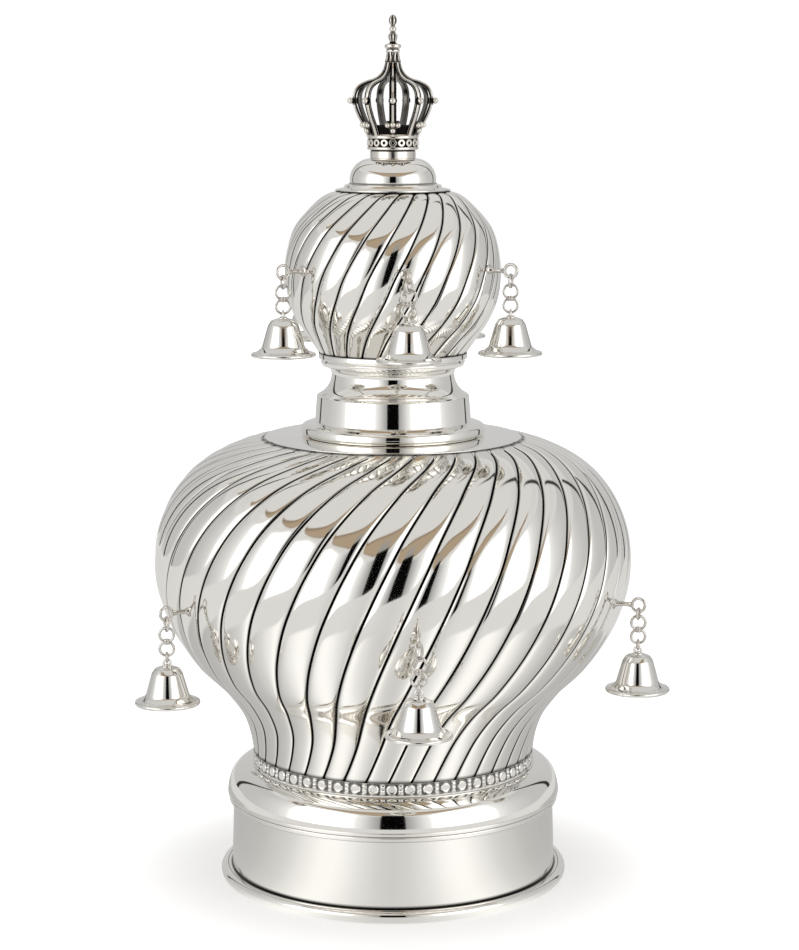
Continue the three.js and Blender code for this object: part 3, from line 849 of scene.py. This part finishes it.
class Shade:
    """A small node tree that works out a colour by arithmetic."""

    def __init__(self, tree):
        self.tree = tree
        tree.nodes.clear()

    def node(self, kind):
        return self.tree.nodes.new(kind)

    def link(self, source, target):
        self.tree.links.new(source, target)

    def maths(self, operation, *values):
        made = self.node("ShaderNodeMath")
        made.operation = operation
        for socket, value in zip(made.inputs, values):
            if isinstance(value, (int, float)):
                socket.default_value = value
            else:
                self.link(value, socket)
        return made.outputs[0]

    def product(self, first, *others):
        for other in others:
            first = self.maths("MULTIPLY", first, other)
        return first

    def fall(self, value, start, end):
        """1 up to start and 0 from end."""
        return self.ramp(value, start, end, 1, 0)

    def ramp(self, value, start, end, low=0.0, high=1.0):
        made = self.node("ShaderNodeMapRange")
        made.interpolation_type = "SMOOTHSTEP"
        for key, setting in (("From Min", start), ("From Max", end), ("To Min", low),
                             ("To Max", high)):
            made.inputs[key].default_value = setting
        self.link(value, made.inputs["Value"])
        return made.outputs["Result"]

    def blend(self, factor, under, over):
        made = self.node("ShaderNodeMix")
        made.data_type = "RGBA"
        self.link(factor, made.inputs["Factor"])
        for key, value in (("A", under), ("B", over)):
            if isinstance(value, tuple):
                made.inputs[key].default_value = (*value, 1)
            else:
                self.link(value, made.inputs[key])
        return made.outputs["Result"]

    def curve(self, value, stops):
        """Grey level along a value, from (value, level) stops. The first is at 0."""
        made = self.node("ShaderNodeValToRGB")
        made.color_ramp.interpolation = "CARDINAL"
        span = stops[-1][0]
        peak = max(level for _, level in stops)
        elements = made.color_ramp.elements
        elements[0].color = (stops[0][1] / peak,) * 3 + (1,)
        elements[1].color = (stops[-1][1] / peak,) * 3 + (1,)
        for at, level in stops[1:-1]:
            elements.new(at / span).color = (level / peak,) * 3 + (1,)
        self.link(self.maths("DIVIDE", value, span), made.inputs["Fac"])
        return self.maths("MULTIPLY", made.outputs["Color"], peak)

    def bearing(self):
        """Degrees to either side of the facing azimuth, distance from the axis, and height."""
        place = self.node("ShaderNodeTexCoord").outputs["Object"]
        parts = self.node("ShaderNodeSeparateXYZ")
        self.link(place, parts.inputs[0])
        x, y, z = parts.outputs
        facing = math.radians(FACING)
        ahead = self.maths("SUBTRACT", self.product(x, math.sin(facing)),
                           self.product(y, math.cos(facing)))
        right = self.maths("ADD", self.product(x, math.cos(facing)),
                           self.product(y, math.sin(facing)))
        turn = self.product(self.maths("ARCTAN2", right, ahead), 180 / math.pi)
        out = self.maths("SQRT", self.maths("ADD", self.product(ahead, ahead),
                                            self.product(right, right)))
        return self.maths("ABSOLUTE", turn), out, z

    def glow(self, colour):
        emission = self.node("ShaderNodeEmission")
        self.link(colour, emission.inputs["Color"])
        output = self.node("ShaderNodeOutputMaterial")
        self.link(emission.outputs[0], output.inputs["Surface"])


def staged(name, mesh, material, camera, glossy):
    mesh.materials.append(material)
    made = bpy.data.objects.new(name, mesh)
    bpy.context.scene.collection.objects.link(made)
    made.visible_camera = camera
    made.visible_glossy = glossy
    return made


def square(name, half, height):
    mesh = bpy.data.meshes.new(name)
    mesh.from_pydata([(x * half * MM, y * half * MM, height * MM)
                      for x, y in ((-1, -1), (1, -1), (1, 1), (-1, 1))], [], [(0, 1, 2, 3)])
    return mesh


def glowing(name):
    material = bpy.data.materials.new(name)
    material.use_nodes = True
    material.cycles.emission_sampling = "NONE"
    return material


def floor():
    """A pale floor for the camera, whose own glow grows away from the crown, so the lower glow near
    the crown is a painted shadow round its foot. Just under it lies the floor that the silver
    mirrors, a glowing plane seen only in reflections: a painted reflection that near the crown is
    brightest to either side of the way the crown faces, and dim behind."""
    material = glowing("pale_floor")
    shader = material.node_tree.nodes["Principled BSDF"]
    shader.inputs["Base Color"].default_value = (0.75, 0.75, 0.75, 1)
    shader.inputs["Roughness"].default_value = 0.9
    shader.inputs["Specular IOR Level"].default_value = 0.0
    shader.inputs["Emission Color"].default_value = (1, 1, 1, 1)
    tree = material.node_tree
    place = tree.nodes.new("ShaderNodeTexCoord")
    out = tree.nodes.new("ShaderNodeVectorMath")
    out.operation = "LENGTH"
    tree.links.new(place.outputs["Object"], out.inputs[0])
    glow = tree.nodes.new("ShaderNodeMapRange")
    glow.interpolation_type = "SMOOTHSTEP"
    # the glow is least near the crown: a painted shadow round its foot
    painted_shadow_glow = {"From Min": 78 * MM, "From Max": 175 * MM, "To Min": 0.36, "To Max": 0.75}
    for key, setting in painted_shadow_glow.items():
        glow.inputs[key].default_value = setting
    tree.links.new(out.outputs["Value"], glow.inputs["Value"])
    tree.links.new(glow.outputs["Result"], shader.inputs["Emission Strength"])
    staged("floor", square("floor", FLOOR_HALF, 0), material, camera=True, glossy=False)

    material = glowing("mirrored_floor")
    shade = Shade(material.node_tree)
    side, out, _ = shade.bearing()
    near = shade.curve(side, [(0, 0.70), (11, 0.78), (22, 0.95), (34, 1.12), (46, 1.04), (60, 0.80),
                              (80, 0.62), (105, 0.54), (140, 0.52), (180, 0.52)])
    far = shade.curve(side, [(0, 0.72), (25, 0.80), (90, 0.80), (140, 0.74), (180, 0.7)])
    disc_edge = BOUNCE["disc"] * MM
    beyond = shade.ramp(out, disc_edge * 0.94, disc_edge * 1.06)
    level = shade.maths("ADD", shade.product(near, shade.maths("SUBTRACT", 1.0, beyond)),
                        shade.product(far, beyond))
    tinted = shade.node("ShaderNodeVectorMath")
    tinted.operation = "SCALE"
    tinted.inputs[0].default_value = (1.0, 0.994, 0.982)
    shade.link(level, tinted.inputs["Scale"])
    shade.glow(tinted.outputs[0])
    plane = square("floor_bounce", BOUNCE["half"], BOUNCE["height"])
    bounce = staged("floor_bounce", plane, material, camera=False, glossy=True)
    bounce.visible_diffuse = False
    bounce.visible_shadow = False


def tent():
    """A light tent round the crown, seen only in reflections. It has a dark slit that the camera
    looks through, a white box to either side of the slit, and above the slit a tan patch that
    widens upwards. A dark seam runs up either side at the back. The ceiling and the lowest part
    are pale. side and rise are degrees round from the slit and up from the tent's centre."""
    arc = np.linspace(-math.pi / 2, math.pi / 2, TENT["rows"])
    dome = lathe([(TENT["radius"] * math.cos(a), TENT["radius"] * math.sin(a)) for a in arc],
                 TENT["columns"], closed=False)
    mesh = bpy.data.meshes.new("tent")
    mesh.from_pydata((dome.vertices * MM).tolist(), [], dome.faces)
    mesh.polygons.foreach_set("use_smooth", np.ones(len(mesh.polygons), bool))

    material = glowing("tent_cloth")
    shade = Shade(material.node_tree)
    ramp, fall, product = shade.ramp, shade.fall, shade.product
    maths, blend = shade.maths, shade.blend
    side, out, z = shade.bearing()
    rise = product(maths("ARCTAN2", z, out), 180 / math.pi)

    FLOOR = (0.78, 0.775, 0.765)
    CEILING = (0.76, 0.755, 0.742)
    BOX = (1.75, 1.75, 1.73)
    TAN = (0.46, 0.36, 0.25)
    BROWN = (0.25, 0.18, 0.12)
    GREY = (0.36, 0.35, 0.33)
    BLACK = (0.002, 0.002, 0.002)
    SEAM = (0.03, 0.028, 0.025)

    wall = shade.curve(side, [(0, 0.40), (9, 0.40), (26, 1.04), (70, 1.04), (83, 0.80), (105, 0.62),
                              (140, 0.60), (180, 0.62)])
    colour = blend(ramp(rise, 32, 52), wall, CEILING)

    over_top = maths("SUBTRACT", rise, ramp(side, 12, 50, 25, 35))
    box = product(ramp(side, 24, 30), fall(side, 68, 76), fall(over_top, -2, 3))
    colour = blend(box, colour, BOX)
    above = product(ramp(over_top, -1, 3), fall(rise, 38, 46))
    colour = blend(above, colour, CEILING)

    patch_foot = 26
    upwards = maths("MAXIMUM", maths("DIVIDE", maths("SUBTRACT", rise, patch_foot), 20), 0.0)
    half_width = maths("ADD", product(maths("POWER", upwards, 1.6), 76), 8.5)
    past_edge = maths("SUBTRACT", side, half_width)
    patch = product(ramp(rise, 28, 30), fall(rise, 46.5, 47.5), fall(past_edge, -1.5, 1.5))
    cloth = blend(product(fall(side, 3, 11), fall(rise, 33, 45)), TAN, GREY)
    cloth = blend(product(ramp(rise, 43, 46.5), 0.85), cloth, BROWN)
    cloth = blend(product(ramp(past_edge, -6, -1), 0.7), cloth, BROWN)
    colour = blend(patch, colour, cloth)

    slit = product(fall(side, 7.8, 8.8), fall(rise, 30.5, 32))
    colour = blend(slit, colour, BLACK)
    seam_side = 135
    seam = fall(maths("ABSOLUTE", maths("SUBTRACT", side, seam_side)), 1.6, 3.4)
    colour = blend(product(seam, fall(rise, 50, 70)), colour, SEAM)
    colour = blend(fall(rise, -6.6, -5.8), colour, FLOOR)
    shade.glow(colour)
    made = staged("tent", mesh, material, camera=False, glossy=True)
    made.location.z = TENT["centre"] * MM


def backdrop():
    """White, as only the camera sees it."""
    world = bpy.data.worlds.new("backdrop")
    bpy.context.scene.world = world
    world.use_nodes = True
    world.node_tree.nodes["Background"].inputs["Color"].default_value = (1, 1, 1, 1)


def camera():
    """Stands about where the photo was taken from: in front of the facing azimuth, looking a
    little down, with a long lens. Its distance, tilt, aim and lens were fitted to the photo."""
    distance, tilt = 1163.7, 8.82
    aim_height, aside = 189.6, 3.0
    data = bpy.data.cameras.new("camera")
    data.sensor_width = 36.0
    data.lens = 94.96
    data.clip_start, data.clip_end = 0.05, 20.0
    made = bpy.data.objects.new("camera", data)
    facing, down = math.radians(FACING), math.radians(tilt)
    right = np.array([math.cos(facing), math.sin(facing), 0])
    back = np.array([math.sin(facing) * math.cos(down), -math.cos(facing) * math.cos(down),
                     math.sin(down)])
    aim = right * aside + (0, 0, aim_height)
    made.location = (aim + back * distance) * MM
    made.rotation_euler = (math.pi / 2 - down, 0, facing)
    bpy.context.scene.collection.objects.link(made)
    bpy.context.scene.camera = made


floor()
tent()
backdrop()
camera()
bpy.context.scene.view_settings.view_transform = "Standard"
